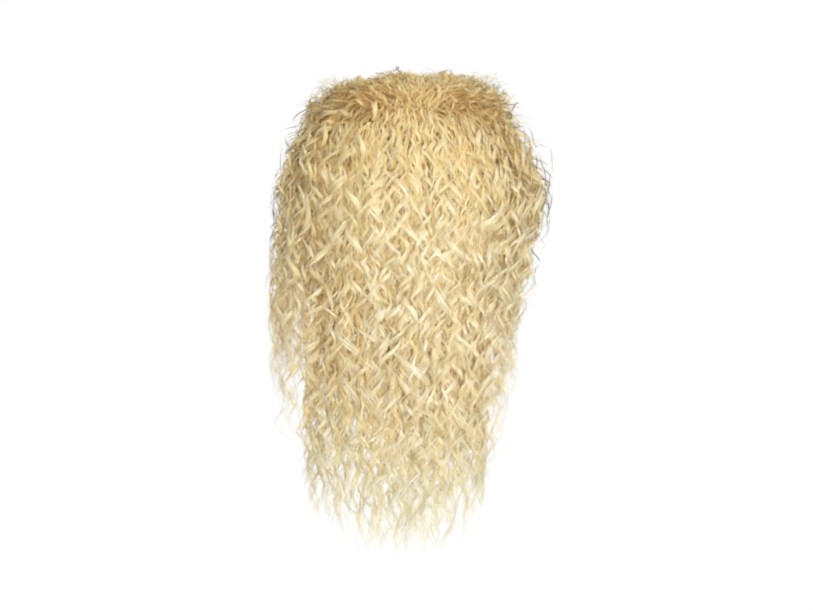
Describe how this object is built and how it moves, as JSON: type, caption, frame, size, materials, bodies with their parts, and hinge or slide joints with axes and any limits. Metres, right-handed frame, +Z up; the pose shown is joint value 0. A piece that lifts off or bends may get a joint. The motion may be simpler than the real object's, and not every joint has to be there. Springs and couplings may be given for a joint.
{
  "type": "cosplay wig",
  "caption": "Long layered blonde wig of tight waves and ringlets on an open net cap, full at the crown and sides with a longer thin tail down the back.",
  "frame": {"origin": "inside of the cap at its crown, where the top of the head sits", "axes": "+Z up, the face towards -Y, the back of the head towards +Y, the wearer's left towards +X"},
  "size_m": [0.2725, 0.2659, 0.483],
  "materials": {
    "hair": "glossy synthetic hair, golden blonde",
    "hair_ends": "glossy synthetic hair, pale blonde ends",
    "cap_net": "matt elastic net"
  },
  "bodies": {
    "root": {"wig_cap": "cap_net", "crown_hair": "hair", "fringe": "hair", "side_hair_left": "hair", "side_hair_right": "hair", "back_hair": "hair", "long_tail": "hair_ends"}
  },
  "joints": []
}
